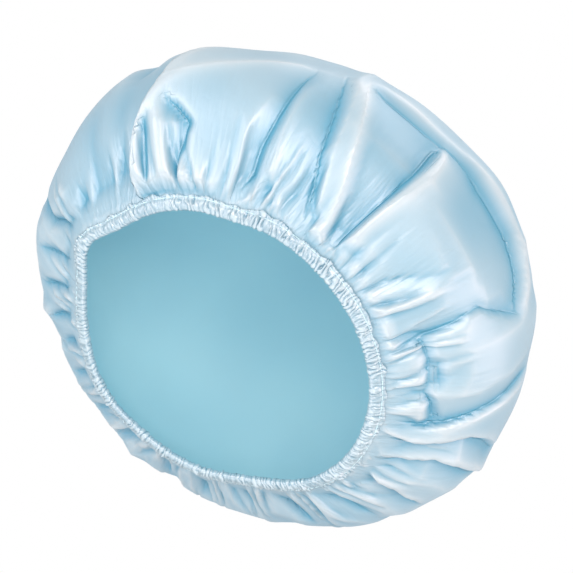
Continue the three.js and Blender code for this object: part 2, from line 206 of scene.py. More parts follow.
def smoothstep(low, high, x):
    """0 below low, 1 above high, and the cubic 3t^2 - 2t^3 between them."""
    t = np.clip((x - low) / (high - low), 0.0, 1.0)
    return t * t * (3 - 2 * t)


def between(start, end, x):
    """0 outside and 1 between two spans, with a smooth step over each of them."""
    return smoothstep(*start, x) * (1 - smoothstep(*end, x))


def bezier(points, count):
    """A cubic curve through the first and last of four points, drawn towards the middle two."""
    a, b, c, d = (np.asarray(p, float) for p in points)
    t = np.linspace(0, 1, count)[:, None]
    return (1 - t) ** 3 * a + 3 * (1 - t) ** 2 * t * b + 3 * (1 - t) * t * t * c + t ** 3 * d


def wave_sum(waves, turn, s=0.0, start=0.0):
    """Sine waves round the cap on top of a start value.

    Each wave has an amount, a count round the cap, a twist for each millimetre of s, and a phase.
    """
    heights = (amount * np.sin(count * turn + twist * s + phase) for amount, count, twist, phase in waves)
    return sum(heights, start)


def degrees_apart(angle, other):
    """Shortest signed angle from other to angle, in degrees."""
    return (angle - other + 180) % 360 - 180


# Radius of the binding's fold as a share of its half thickness
NOSE = 0.55


def hem_point(sizes, u, v):
    """Radius and height of a point of the hem section: u along the binding from its fold, v outwards."""
    along_r, along_z = np.cos(sizes.hem_slope), np.sin(sizes.hem_slope)
    fold_radius = sizes.opening_radius + NOSE * sizes.binding_half * along_z
    fold_height = sizes.binding_half * along_r - sizes.foot_cut
    return fold_radius + u * along_r + v * along_z, fold_height + u * along_z - v * along_r


# Points along the three parts of the meridian
SEAM_STEPS, SKIRT_STEPS, CROWN_STEPS = 40, 400, 800


class Meridian:
    """The cap's meridian: straight in the hem, then a cubic to the bulge and one to the pole."""

    def __init__(self, sizes):
        seam = np.stack(hem_point(sizes, np.linspace(0, sizes.binding_width, SEAM_STEPS), 0.0), axis=1)
        lip = seam[-1]
        along = np.array([np.cos(sizes.hem_slope), np.sin(sizes.hem_slope)])
        bulge = np.array([sizes.bulge_radius, sizes.bulge_height])
        top = sizes.bulge_height + sizes.crown_height
        skirt = bezier((lip, lip + sizes.skirt_flare * along, bulge - [0, sizes.skirt_belly], bulge),
                       SKIRT_STEPS)
        crown = bezier((bulge, bulge + [0, sizes.shoulder_rise], (sizes.crown_flat, top), (0, top)),
                       CROWN_STEPS)
        line = np.concatenate([seam, skirt[1:], crown[1:]])
        steps = np.hypot(*np.diff(line, axis=0).T)
        self.distance = np.concatenate([[0], np.cumsum(steps)])
        self.length = self.distance[-1]
        tangent = np.gradient(line, self.distance, axis=0)
        tangent /= np.linalg.norm(tangent, axis=1)[:, None]
        self.line = line
        self.normal = np.stack([tangent[:, 1], -tangent[:, 0]], axis=1)

    def at(self, s):
        """Radius, height and the two parts of the outward normal at distances s."""
        columns = np.concatenate([self.line, self.normal], axis=1).T
        return [np.interp(s, self.distance, column) for column in columns]


# How the elastic lies in the photograph: where the hem leaves its circle, over how many degrees and how
# far in millimetres, and the distances between which the cloth above loses this pull
HEM_PULLS = ((174, 11, 7.0), (113, 16, 3.5), (45, 20, -5.5), (239, 10, -2.0))
PULL_FADE = (10, 50)


def hem_pull(angle):
    """How far the hem is pulled out of its circle at an angle, in metres: round bulges and dents."""
    degrees = np.degrees(angle)
    pulls = (reach * np.exp(-(degrees_apart(degrees, at) / wide) ** 2) for at, wide, reach in HEM_PULLS)
    return MM * sum(pulls)


def spun(r, z, angle, follow=1.0):
    """Points at radius r and height z turned by angle; follow is how much of the hem's pull they take."""
    radius = r + follow * hem_pull(angle)
    return np.stack(np.broadcast_arrays(radius * np.cos(angle), radius * np.sin(angle), z), axis=-1)


def turned_surface(meridian, s, angle, lift):
    """Points at distance s along the meridian, turned by angle and moved out by lift along the normal."""
    r, z, nr, nz = meridian.at(s)
    return spun(r + nr * lift, z + nz * lift, angle, 1 - smoothstep(*PULL_FADE, s / MM))


def crease_profile(d, crease):
    """A crest of height 1 at d = 0, rounded by soft, with straight or exponential flanks."""
    x = d / np.where(d < 0, crease.before, crease.after)
    away = np.sqrt(x * x + crease.soft ** 2) - crease.soft
    if crease.flat:
        return np.clip(1 - away, 0, 1)
    return np.exp(-away)


# How far a crease that runs up the cloth reaches past its first and last points, in millimetres
CREASE_TAIL = 8


def up_crease_place(crease, degrees, s, r):
    """Millimetres across from a crease that runs up the cloth at radius r, and its share from 0 to 1."""
    angles, along = np.array(crease.points, float).T
    middle = np.interp(s, along, angles)
    start = (along[0] - CREASE_TAIL, along[0] + crease.rise)
    end = (along[-1] - crease.fade, along[-1] + CREASE_TAIL)
    return np.radians(degrees_apart(degrees, middle)) * r, between(start, end, s)


def round_crease_place(crease, degrees, s, r):
    """Millimetres up from a crease that runs round the cap, and its share from 0 to 1."""
    angles, along = np.array(crease.points, float).T
    turn = angles[0] + degrees_apart(degrees, angles[0])
    middle = np.interp(turn, angles, along)
    start, end = ((at - crease.fade, at + crease.fade) for at in (angles[0], angles[-1]))
    return s - middle, between(start, end, turn)


def placed_creases(degrees, s, r):
    """Each crease of the photograph with its distances and shares."""
    for place, creases in ((up_crease_place, UP_CREASES), (round_crease_place, ROUND_CREASES)):
        for crease in creases:
            yield crease, *place(crease, degrees, s, r)


def crease_slide(degrees, s, r):
    """How far the creases lean over, round the cap, in millimetres."""
    around = np.zeros_like(s)
    for crease, across, share in placed_creases(degrees, s, r):
        around += crease.lean * crease.height * share * crease_profile(across, crease)
    return around


# Sharp lines along creases, which the outer cloth bumps and paints as shade in valleys and highlight on
# ridges: the softest crease that has one, the height of a full one, the most that a ridge has, how fast a
# crease loses its say, and the distances over which lines start and end
LINE_SOFT, LINE_HEIGHT, RIDGE_LINE, LINE_SAY = 0.35, 4, 0.3, 6
LINE_START, LINE_END = (12, 24), (2.5, 5)
NO_CREASE = 50.0


def crease_lines(degrees, s, r):
    """Millimetres across from the nearest crease, and how sharp its line is there: below 0 for a valley.

    A soft crease has no line. Lines end a few millimetres away, so that none shows half way between two.
    """
    nearest, line, most = np.full(s.shape, NO_CREASE), np.zeros(s.shape), np.zeros(s.shape)
    for crease, across, share in placed_creases(degrees, s, r):
        if crease.soft > LINE_SOFT:
            continue
        say = share * np.exp(-np.abs(across) / LINE_SAY)
        sharp = np.clip(crease.height / LINE_HEIGHT, -1, RIDGE_LINE)
        nearest = np.where(say > most, across, nearest)
        line = np.where(say > most, sharp * share, line)
        most = np.maximum(say, most)
    return nearest, line * smoothstep(*LINE_START, s) * (1 - smoothstep(*LINE_END, np.abs(nearest)))


# Power of the sine that makes a puff: below 1 its valleys are sharp
PUFF_POWER = 0.6


def puffs(degrees, count, uneven, seed):
    """Round puffs of uneven width side by side: their profile from 0 to 1 and their numbers."""
    random = np.random.default_rng(seed)
    edges = (np.arange(count) + random.uniform(-uneven, uneven, count)) * 360 / count
    edges = np.concatenate([edges, edges[:1] + 360])
    turn = (degrees - edges[0]) % 360 + edges[0]
    number = np.clip(np.searchsorted(edges, turn, side="right") - 1, 0, count - 1)
    share = np.clip((turn - edges[number]) / (edges[number + 1] - edges[number]), 0, 1)
    return np.sin(np.pi * share) ** PUFF_POWER, number


# Gathers at the hem: count and unevenness, least and most height and reach, where they begin to sway and
# to fade, and the share and the count of each sway
GATHERS, GATHER_UNEVEN = 72, 0.38
GATHER_HEIGHTS, GATHER_REACHES = (1.4, 3.8), (9, 24)
GATHER_SWAY_FROM, GATHER_FADE_FROM = 12, 15
GATHER_SWAYS = ((0.10, 7), (0.06, 23))


def gather_lift(degrees, s):
    """Gathers at the hem: puffs, each with its own height and length, that sway as they rise."""
    random = np.random.default_rng(7)
    heights = random.uniform(*GATHER_HEIGHTS, GATHERS)
    reaches = random.uniform(*GATHER_REACHES, GATHERS)
    sway = sum(share * (s - GATHER_SWAY_FROM) * np.sin(np.radians(count * degrees))
               for share, count in GATHER_SWAYS)
    profile, number = puffs(degrees + sway, GATHERS, GATHER_UNEVEN, 11)
    fade = np.exp(-np.clip(s - GATHER_FADE_FROM, 0, None) / reaches[number])
    return heights[number] * fade * (profile - 0.5)


# Waves of the slack cloth, and the distances over which they start and end
SLACK_WAVES = ((1.1, 3, 0.021, 0.7), (0.9, 5, -0.034, 2.1), (0.7, 8, 0.052, 4.0), (0.5, 13, -0.071, 1.3))
SLACK_START, SLACK_END = (40, 90), (170, 265)


def slack_lift(degrees, s):
    """Broad soft undulation of the slack cloth: a few waves of different counts round the cap."""
    lift = wave_sum(SLACK_WAVES, np.radians(degrees), s)
    return lift * between(SLACK_START, SLACK_END, s)


# Lumps and dents of the cloth that show in the cap's outline
Lump = namedtuple("Lump", "at start end height wide")
LUMPS = (
    Lump(200, 85, 125, -4.0, 11), Lump(216, 95, 130, -1.6, 8), Lump(233, 105, 150, 2.2, 16),
    Lump(253, 105, 145, 1.8, 8), Lump(303, 98, 135, 1.6, 9), Lump(314, 98, 130, -1.6, 9),
    Lump(357, 70, 110, 2.4, 12), Lump(18, 50, 85, -1.6, 9), Lump(43, 42, 72, -1.5, 9),
    Lump(77, 38, 68, -1.7, 8), Lump(90, 32, 60, 1.9, 8), Lump(135, 40, 72, 2.3, 7),
)


# Share of a straight crease's length over which it grows, and fades
GROW_SHARE = 0.4
LUMP_SOFT = 0.15


def straight_crease(at, start, long, slant, height, before, after, soft):
    """A crease with straight flanks that grows and fades over a share of its length."""
    grow = GROW_SHARE * long
    points = ((at, start), (at + slant, start + long))
    return Crease(points, height, before, after, soft, grow, rise=grow, flat=True)


def lump_creases():
    """The lumps and dents as creases with straight flanks."""
    for at, start, end, height, wide in LUMPS:
        yield straight_crease(at, start, end - start, 0, height, wide, wide, LUMP_SOFT)


# Creases of the crown: count, unevenness and softness, spans of their lengths, heights and half widths,
# slants and spread, and where they may start, in millimetres from the hem's fold by angle
CROWN_CREASES, CROWN_UNEVEN, CROWN_SOFT = 36, 0.4, 0.06
CROWN_LENGTHS, CROWN_HEIGHTS, CROWN_WIDTHS = (45, 95), (1.6, 3.8), (6, 26)
CROWN_SLANTS, CROWN_SPREAD = (-15, 15), (0, 45)
CROWN_ANGLES = (0, 45, 95, 141, 190, 225, 270, 315, 352, 360)
CROWN_STARTS = (92, 72, 60, 72, 102, 124, 148, 129, 109, 92)


def crown_creases():
    """Long shallow creases at uneven places over the back and the crown, which the photograph hides."""
    random = np.random.default_rng(23)
    uneven = random.uniform(-CROWN_UNEVEN, CROWN_UNEVEN, CROWN_CREASES)
    angles = (np.arange(CROWN_CREASES) + uneven) * 360 / CROWN_CREASES
    starts = np.interp(angles, CROWN_ANGLES, CROWN_STARTS) + random.uniform(*CROWN_SPREAD, CROWN_CREASES)
    for at, start in zip(angles, starts):
        long = random.uniform(*CROWN_LENGTHS)
        slant = random.uniform(*CROWN_SLANTS)
        height = random.choice((-1, 1)) * random.uniform(*CROWN_HEIGHTS)
        before, after = random.uniform(*CROWN_WIDTHS, 2)
        yield straight_crease(at, start, long, slant, height, before, after, CROWN_SOFT)


# Distances over which the crown's creases end below the pole, and all folds start above the hem
CROWN_END, FOLD_START = (205, 250), (7.5, 17)


def cloth_lift(degrees, s, r):
    """All folds of the outer cloth in millimetres."""
    lift = slack_lift(degrees, s) + gather_lift(degrees, s)
    for crease in (*lump_creases(), *crown_creases()):
        across, share = up_crease_place(crease, degrees, s, r)
        lift += crease.height * share * crease_profile(across, crease) * (1 - smoothstep(*CROWN_END, s))
    for crease, across, share in placed_creases(degrees, s, r):
        lift += crease.height * share * crease_profile(across, crease)
    return lift * smoothstep(*FOLD_START, s)


# Where the cap departs from a round one: angle, millimetres from the fold, the spread of both, height
Swell = namedtuple("Swell", "at above wide high height")
SWELLS = (
    Swell(236, 122, 20, 36, -5.0),
    Swell(293, 130, 18, 40, 4.0),
    Swell(192, 108, 9, 30, 3.0),
    Swell(355, 98, 9, 30, 2.6),
    Swell(318, 118, 10, 30, 2.2),
    Swell(155, 68, 7, 25, 2.6),
    Swell(173, 82, 8, 25, -1.8),
    Swell(126, 58, 5, 20, -3.0),
    Swell(89, 50, 6, 20, 2.0),
)


def body_lift(degrees, s):
    """How the cap departs from a round one: a dent beside the big lobe and round swells."""
    lift = np.zeros_like(s)
    for swell in SWELLS:
        across = degrees_apart(degrees, swell.at) / swell.wide
        lift += swell.height * np.exp(-across ** 2 - ((s - swell.above) / swell.high) ** 2)
    return lift


def finished_mesh(name, vertices, faces):
    """A smooth mesh of an array of points and a list of faces."""
    mesh = bpy.data.meshes.new(name)
    mesh.from_pydata(vertices.tolist(), [], faces)
    mesh.shade_smooth()
    mesh.validate()
    return mesh


def grid_mesh(name, points, pole=None, tube=False):
    """A mesh on a grid closed round its columns, and round its rows as a tube; pole caps the last row."""
    rows, columns = points.shape[:2]
    vertices = points.reshape(-1, 3)
    index = np.arange(rows * columns).reshape(rows, columns)
    if tube:
        index = np.concatenate([index, index[:1]])
    after = np.roll(index, -1, axis=1)
    faces = np.stack([index[:-1], after[:-1], after[1:], index[1:]], axis=-1).reshape(-1, 4).tolist()
    if pole is not None:
        vertices = np.concatenate([vertices, [pole]])
        tip = np.full(columns, rows * columns)
        faces += np.stack([index[-1], after[-1], tip], axis=-1).tolist()
    return finished_mesh(name, vertices, faces)


def strip_mesh(name, points):
    """A mesh on rows of closed sections, with a face over the first and the last section."""
    rows, columns = points.shape[:2]
    index = np.arange(rows * columns).reshape(rows, columns)
    after = np.roll(index, -1, axis=1)
    faces = np.stack([index[:-1], index[1:], after[1:], after[:-1]], axis=-1).reshape(-1, 4).tolist()
    faces += [index[0].tolist(), index[-1, ::-1].tolist()]
    return finished_mesh(name, points.reshape(-1, 3), faces)


def add_piece(name, mesh, material, node):
    """Puts a mesh into the scene in place of its CAD node, with a material and a body to ride on."""
    piece = bpy.data.objects.new(name, mesh)
    bpy.context.scene.collection.objects.link(piece)
    mesh.materials.append(material)
    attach(piece, BODY)
    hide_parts(node)
    return piece


def thicken(piece, thickness, offset):
    """Gives a sheet its wall with a Solidify modifier; offset -1 grows it inwards and 1 outwards."""
    solidify = piece.modifiers.new("Wall", 'SOLIDIFY')
    solidify.thickness = thickness
    solidify.offset = offset
    solidify.use_even_offset = False


def set_values(mesh, name, values, vectors=False):
    """Stores a number or a vector for each point of the mesh; a pole left over takes the last one."""
    kind, size, field = ('FLOAT_VECTOR', 3, "vector") if vectors else ('FLOAT', 1, "value")
    flat = values.reshape(-1, size)
    every = np.concatenate([flat, np.repeat(flat[-1:], len(mesh.vertices) - len(flat), axis=0)])
    mesh.attributes.new(name, kind, 'POINT').data.foreach_set(field, every.ravel())


def empty_tree(owner):
    """The node tree of a material or a world, with no nodes in it."""
    owner.use_nodes = True
    owner.node_tree.nodes.clear()
    return owner.node_tree


def add_node(tree, kind, inputs=None, **settings):
    """A shader node with its settings; each of its inputs is given a socket to link or a value."""
    node = tree.nodes.new("ShaderNode" + kind)
    for name, value in settings.items():
        setattr(node, name, value)
    for key, value in (inputs or {}).items():
        if isinstance(value, bpy.types.NodeSocket):
            tree.links.new(value, node.inputs[key])
        else:
            node.inputs[key].default_value = value
    return node


def add_math(tree, operation, *values, **settings):
    """Output of a Math node on sockets or numbers."""
    return add_node(tree, "Math", dict(enumerate(values)), operation=operation, **settings).outputs[0]


def add_mix(tree, share, first, second):
    """A Mix Shader node that goes from the first shader to the second as share goes from 0 to 1."""
    return add_node(tree, "MixShader", {0: share, 1: first.outputs[0], 2: second.outputs[0]})


def add_bump(tree, height, distance, **inputs):
    """Normal of a Bump node on a height."""
    return add_node(tree, "Bump", {"Height": height, "Distance": distance, **inputs}).outputs["Normal"]


def carried(tree, name, output="Fac"):
    """Value that the mesh carries under a name."""
    return add_node(tree, "Attribute", attribute_name=name).outputs[output]


# A shader node group: its inputs, each a kind of socket or a number for a value with that default, the
# name and the kind of its output, and the function that fills it
Effect = namedtuple("Effect", "name inputs output kind fill")


def add_effect(tree, effect, inputs):
    """Output of a group node; the effect's group is built when it is first asked for."""
    group = bpy.data.node_groups.get(effect.name)
    if group is None:
        group = bpy.data.node_groups.new(effect.name, 'ShaderNodeTree')
        for label, value in effect.inputs.items():
            kind = value if isinstance(value, str) else 'NodeSocketFloat'
            socket = group.interface.new_socket(label, in_out='INPUT', socket_type=kind)
            if kind == 'NodeSocketFloat':
                socket.default_value = value
        group.interface.new_socket(effect.output, in_out='OUTPUT', socket_type=effect.kind)
        start = group.nodes.new("NodeGroupInput")
        end = group.nodes.new("NodeGroupOutput")
        group.links.new(effect.fill(group, start.outputs), end.inputs[effect.output])
    return add_node(tree, "Group", inputs, node_tree=group).outputs[effect.output]


def noise_lines(tree, vector, scale, detail):
    """How far a noise is from its middle value, which is 0 along sharp lines."""
    noise = add_node(tree, "TexNoise", {"Vector": vector, "Scale": scale, "Detail": detail})
    return add_math(tree, 'ABSOLUTE', add_math(tree, 'SUBTRACT', noise.outputs["Fac"], 0.5))


def crinkle_height(tree, given):
    """Crinkle of thin film: sharp creases where a soft noise passes its middle, and a fine grain."""
    crease = noise_lines(tree, given["Vector"], given["Creases"], 3)
    grain = add_node(tree, "TexNoise", {"Vector": given["Vector"], "Scale": given["Grain"], "Detail": 1})
    return add_math(tree, 'MULTIPLY_ADD', grain.outputs["Fac"], 0.03, crease)


def wrinkle_height(tree, given):
    """Fine wrinkles up from the hem: sharp lines of a noise drawn out along the lay of the cloth."""
    return noise_lines(tree, given["Lay"], given["Count"], 2)


# How far the noise of a tone is spread out
TONE_SPREAD = {"From Min": 0.35, "From Max": 0.65, "To Min": -0.5, "To Max": 0.5}


def tone_and_painted_light(tree, given):
    """Two colours mixed by noise and by relief: painted shade deep in the folds, painted highlight on the
    ridges.
    """
    noise = add_node(tree, "TexNoise", {"Vector": given["Vector"], "Scale": given["Scale"], "Detail": 2})
    spread = add_node(tree, "MapRange", {"Value": noise.outputs["Fac"], **TONE_SPREAD})
    share = add_math(tree, 'MULTIPLY_ADD', spread.outputs["Result"], given["Mottle"], given["Painted light"],
                     use_clamp=True)
    colours = {"Factor": share, "A": given["Colour"], "B": given["Pale"]}
    return add_node(tree, "Mix", colours, data_type='RGBA').outputs["Result"]


CRINKLE = Effect("Film crinkle", {"Vector": 'NodeSocketVector', "Creases": 40.0, "Grain": 500.0},
                 "Height", 'NodeSocketFloat', crinkle_height)
WRINKLES = Effect("Hem wrinkles", {"Lay": 'NodeSocketVector', "Count": 24.0},
                  "Height", 'NodeSocketFloat', wrinkle_height)
# Fed a relief, this tone paints shade into the folds and highlights onto the ridges; without one it is
# only a random mottle.
TONE = Effect("Cloth tone and painted light", {"Vector": 'NodeSocketVector', "Colour": 'NodeSocketColor',
                             "Pale": 'NodeSocketColor', "Scale": 14.0, "Painted light": 0.5, "Mottle": 1.0},
              "Color", 'NodeSocketColor', tone_and_painted_light)


# Film cloths: shine is the index of refraction, crinkle a relief in metres, glow the light let through
Film = namedtuple("Film", "name roughness shine specular crinkle glow folded")
OUTER_FILM = Film("Outer film cloth", 0.42, 1.9, 1.0, 0.0004, 0.3, True)
LINING_FILM = Film("Lining film", 0.6, 1.45, 0.5, 0.0001, 0.4, False)
BINDING_FILM = Film("Binding film", 0.33, 1.8, 1.0, 0.0002, 0.15, True)
FILM_SHINE_TINT = (1, 0.86, 0.88, 1)
FILM_SHADOW_TINT = (0.8, 0.93, 0.98, 1)

# Folded film: how fast a crease's line falls off across it, its height, and how far it paints shade along
# valleys and highlight along ridges, the height of the wrinkles in metres and the mottle of the tone
EDGE_FALL, EDGE_HEIGHT, EDGE_PAINTED_LIGHT = -1.2, 0.0006, 0.35
WRINKLE_HEIGHT, FOLDED_MOTTLE = 0.0018, 0.2


def crease_edge(tree):
    """The sharp line along each crease, a bump and also painted shade on valleys and painted highlight on
    ridges: its line value times a bell curve, 0.9 mm to each side.
    """
    across = carried(tree, "crease")
    square = add_math(tree, 'MULTIPLY', across, across)
    bell = add_math(tree, 'EXPONENT', add_math(tree, 'MULTIPLY', square, EDGE_FALL))
    return add_math(tree, 'MULTIPLY', bell, carried(tree, "line"))


def film_material(film, colour, pale):
    """Satin film cloth that lets some light through, and thins its own shadow.

    The painted shade and highlight and the fine relief of a folded cloth follow the values that its mesh
    carries.
    """
    material = bpy.data.materials.new(film.name)
    tree = empty_tree(material)
    place = add_node(tree, "TexCoord").outputs["Object"]
    toning = {"Vector": place, "Colour": (*colour, 1), "Pale": (*pale, 1)}
    normal = add_bump(tree, add_effect(tree, CRINKLE, {"Vector": place}), film.crinkle)
    if film.folded:
        edge = crease_edge(tree)
        # Painted shade in the valleys and painted highlight on the ridges, from the crease lines and the
        # relief
        toning["Painted light"] = add_math(tree, 'MULTIPLY_ADD', edge, EDGE_PAINTED_LIGHT, carried(tree, "relief"))
        toning["Mottle"] = FOLDED_MOTTLE
        wrinkles = add_effect(tree, WRINKLES, {"Lay": carried(tree, "lay", "Vector")})
        normal = add_bump(tree, wrinkles, WRINKLE_HEIGHT, Strength=carried(tree, "gather"), Normal=normal)
        normal = add_bump(tree, edge, EDGE_HEIGHT, Normal=normal)
    tone = add_effect(tree, TONE, toning)
    shader = add_node(tree, "BsdfPrincipled", {
        "Base Color": tone, "Normal": normal, "Roughness": film.roughness, "IOR": film.shine,
        "Specular IOR Level": film.specular, "Specular Tint": FILM_SHINE_TINT})
    through = add_node(tree, "BsdfTranslucent", {"Color": tone, "Normal": normal})
    cloth = add_mix(tree, film.glow, shader, through)
    shadow = add_node(tree, "LightPath").outputs["Is Shadow Ray"]
    clear = add_node(tree, "BsdfTransparent", {"Color": FILM_SHADOW_TINT})
    thin = add_mix(tree, add_math(tree, 'MULTIPLY', shadow, 2 * film.glow), cloth, clear)
    add_node(tree, "OutputMaterial", {"Surface": thin.outputs[0]})
    return material


# Height of the yarns' relief in metres
YARN_HEIGHT = 0.0001


def yarn_material(name, colour, lighter, scale, look, relief=None):
    """Yarns: a fine mottle of a colour and of that times lighter, and a relief if it has a scale."""
    material = bpy.data.materials.new(name)
    tree = empty_tree(material)
    place = add_node(tree, "TexCoord").outputs["Object"]
    pale = (*(min(1, lighter * c) for c in colour), 1)
    toning = {"Vector": place, "Colour": (*colour, 1), "Pale": pale, "Scale": scale}
    inputs = {"Base Color": add_effect(tree, TONE, toning), **look}
    if relief:
        noise = add_node(tree, "TexNoise", {"Vector": place, "Scale": relief})
        inputs["Normal"] = add_bump(tree, noise.outputs["Fac"], YARN_HEIGHT)
    shader = add_node(tree, "BsdfPrincipled", inputs)
    add_node(tree, "OutputMaterial", {"Surface": shader.outputs[0]})
    return material


# How many times the facets are flattened, the turn from square to square that counts as an edge at these
# distances, and the shares of the designed creases that are put back at the hem and above it
FACET_ROUNDS = 30
FACET_AT, FACET_TURNS = (15, 60), (0.045, 0.07)
SHARPEN, FACET_SHARE = 1.2, 1.15

# Rounds of averaging that take sharp and broad folds away, and the distances over which the cloth leaves
# its gathers, comes free of the hem and is held again at the crown
SHARP_ROUNDS, BROAD_ROUNDS = 8, 60
ABOVE_GATHERS = (35, 75)
FREE_START, FREE_END = (8, 13), (190, 235)

# How stiff the cloth is up and down, and the designed lift that has a full say
UP_STIFF = 0.9
FULL_LIFT = 2 * MM

# Squares that face further from the cap's outside than this cosine count as turned over
TURNED_OVER, UNFOLD_ROUNDS = 0.3, 40

# Rounds of averaging that give the near and the wider surroundings, and the millimetres that count fully,
# for the relief that paints shade into the folds and highlights onto the ridges
NEAR_ROUNDS, WIDE_ROUNDS = 12, 200
NEAR_HEIGHT, WIDE_HEIGHT = 3.5, 20

# The cloth is drawn in on a coarse grid, for its broad folds, and then on two finer ones for its gathers.
# hem and middle are the shares of cloth that are over, stiff and shear how much of a wrong length a step
# mends, bend_round and bend_up how much of a bend it smooths, puff its push outwards in millimetres, and
# pull its share of the way to the designed lift.
Level = namedtuple("Level", "rows columns hem middle steps stiff shear bend_round bend_up puff pull")
LEVELS = (
    Level(26, 120, 0.10, 0.08, 300, 0.8, 0.15, 0.02, 0.05, 0.03, 0.10),
    Level(51, 240, 0.24, 0.08, 250, 0.8, 0.10, 0.02, 0.02, 0.02, 0.16),
    Level(101, 480, 0.42, 0.08, 170, 0.8, 0.06, 0.015, 0.01, 0.01, 0.25),
)


# How even the rows' distances are. Where the cloth's excess begins to fall off, how fast, and where it
# ends. Limits of the folds in millimetres: at the hem, what is added above it, and the distances between
ROW_EVEN = 0.6
EXCESS_FROM, EXCESS_REACH, EXCESS_END = 8, 14, (70, 170)
DIP_LIMIT, STAND_LIMIT = (0.05, 7.2, (10, 42)), (0.3, 9, (8, 26))


def cloth_rows(meridian, start, count):
    """Distances of the cloth's rows, close together in the skirt and wider apart towards the pole."""
    t = np.linspace(0, 1, count)
    return start + (meridian.length - start) * (ROW_EVEN * t + (1 - ROW_EVEN) * t ** 3)


def excess(s, hem, middle):
    """Share of cloth round the cap that is over: much at the hem, some up to the bulge, none on top."""
    at_hem = hem * np.exp(-np.clip(s / MM - EXCESS_FROM, 0, None) / EXCESS_REACH)
    return at_hem + middle * (1 - smoothstep(*EXCESS_END, s / MM))


def lift_limits(s):
    """How far the folds may dip, which keeps them off the lining, and how far they may stand out."""
    dip, stand = (MM * (at_hem + more * smoothstep(*span, s / MM))
                  for at_hem, more, span in (DIP_LIMIT, STAND_LIMIT))
    return -dip, stand


def mend_lengths(a, b, length, share_a, share_b, stiff):
    """Corrections that bring the points a and b to their length apart, split by their shares."""
    apart = b - a
    now = np.sqrt((apart * apart).sum(axis=-1)) + TINY_LENGTH
    change = apart * (stiff * (now - length) / now / (share_a + share_b + TINY_LENGTH))[..., None]
    return change * share_a[..., None], -change * share_b[..., None]


def draw_in(points, base, normal, free, lengths, limits, target, level):
    """Lets the cloth find its folds: each step mends lengths, smooths bends and puffs it out a little.

    lengths are the slack ones round the cap, up it and across each square. target is the designed lift,
    which pulls the cloth. free is 0 where the cloth is held and 1 where it may move.
    """
    rows, columns = points.shape[:2]
    round_length, up_length, cross_length = (each[:, None] for each in lengths)
    lowest, highest = limits
    say = np.clip(np.abs(target) / FULL_LIFT, 0, 1)
    free = np.broadcast_to(free[:, None], (rows, columns))
    for _ in range(level.steps):
        for start in (0, 1):
            first = np.arange(start, columns, 2)
            second = (first + 1) % columns
            near, far = mend_lengths(points[:, first], points[:, second], round_length,
                                     free[:, first], free[:, second], level.stiff)
            points[:, first] += near * free[:, first, None]
            points[:, second] += far * free[:, second, None]
        for start in (0, 1):
            first = np.arange(start, rows - 1, 2)
            near, far = mend_lengths(points[first], points[first + 1], up_length[first],
                                     free[first], free[first + 1], UP_STIFF)
            points[first] += near
            points[first + 1] += far
            for shift in (1, -1):
                across = np.roll(points[first + 1], -shift, axis=1)
                near, far = mend_lengths(points[first], across, cross_length[first],
                                         free[first], free[first + 1], level.shear)
                points[first] += near
                points[first + 1] = np.roll(across + far, shift, axis=1)
        before, after = np.roll(points, 1, axis=1), np.roll(points, -1, axis=1)
        bend = level.bend_round * ((before + after) / 2 - points)
        bend[1:-1] += level.bend_up * ((points[2:] + points[:-2]) / 2 - points[1:-1])
        out = np.cross(after - before, np.gradient(points, axis=0))
        out /= np.sqrt((out * out).sum(axis=-1))[..., None] + TINY_AREA
        points += (bend + out * level.puff * MM) * free[..., None]
        lift = ((points - base) * normal).sum(axis=-1)
        push = np.clip(lowest - lift, 0, None) - np.clip(lift - highest, 0, None)
        push += level.pull * say * (target - lift)
        points += normal * (push * (free > 0))[..., None]
    return points


def turn_axes(vectors, angle):
    """Vectors turned about the cap's axis by an angle for each column."""
    cos, sin = np.cos(angle), np.sin(angle)
    x, y, z = np.moveaxis(vectors, -1, 0)
    return np.stack([x * cos - y * sin, x * sin + y * cos, z], axis=-1)


def doubled(grid):
    """A grid with a new row and column half way between each two, closed round its columns."""
    wide = np.empty((grid.shape[0], 2 * grid.shape[1], 3))
    wide[:, 0::2] = grid
    wide[:, 1::2] = (grid + np.roll(grid, -1, axis=1)) / 2
    tall = np.empty((2 * grid.shape[0] - 1, wide.shape[1], 3))
    tall[0::2] = wide
    tall[1::2] = (wide[1:] + wide[:-1]) / 2
    return tall


def cloth_grid(row, columns):
    """Distances and degrees on a grid of rows, with its columns evenly round the cap."""
    return np.meshgrid(row, np.arange(columns) * 360 / columns, indexing="ij")


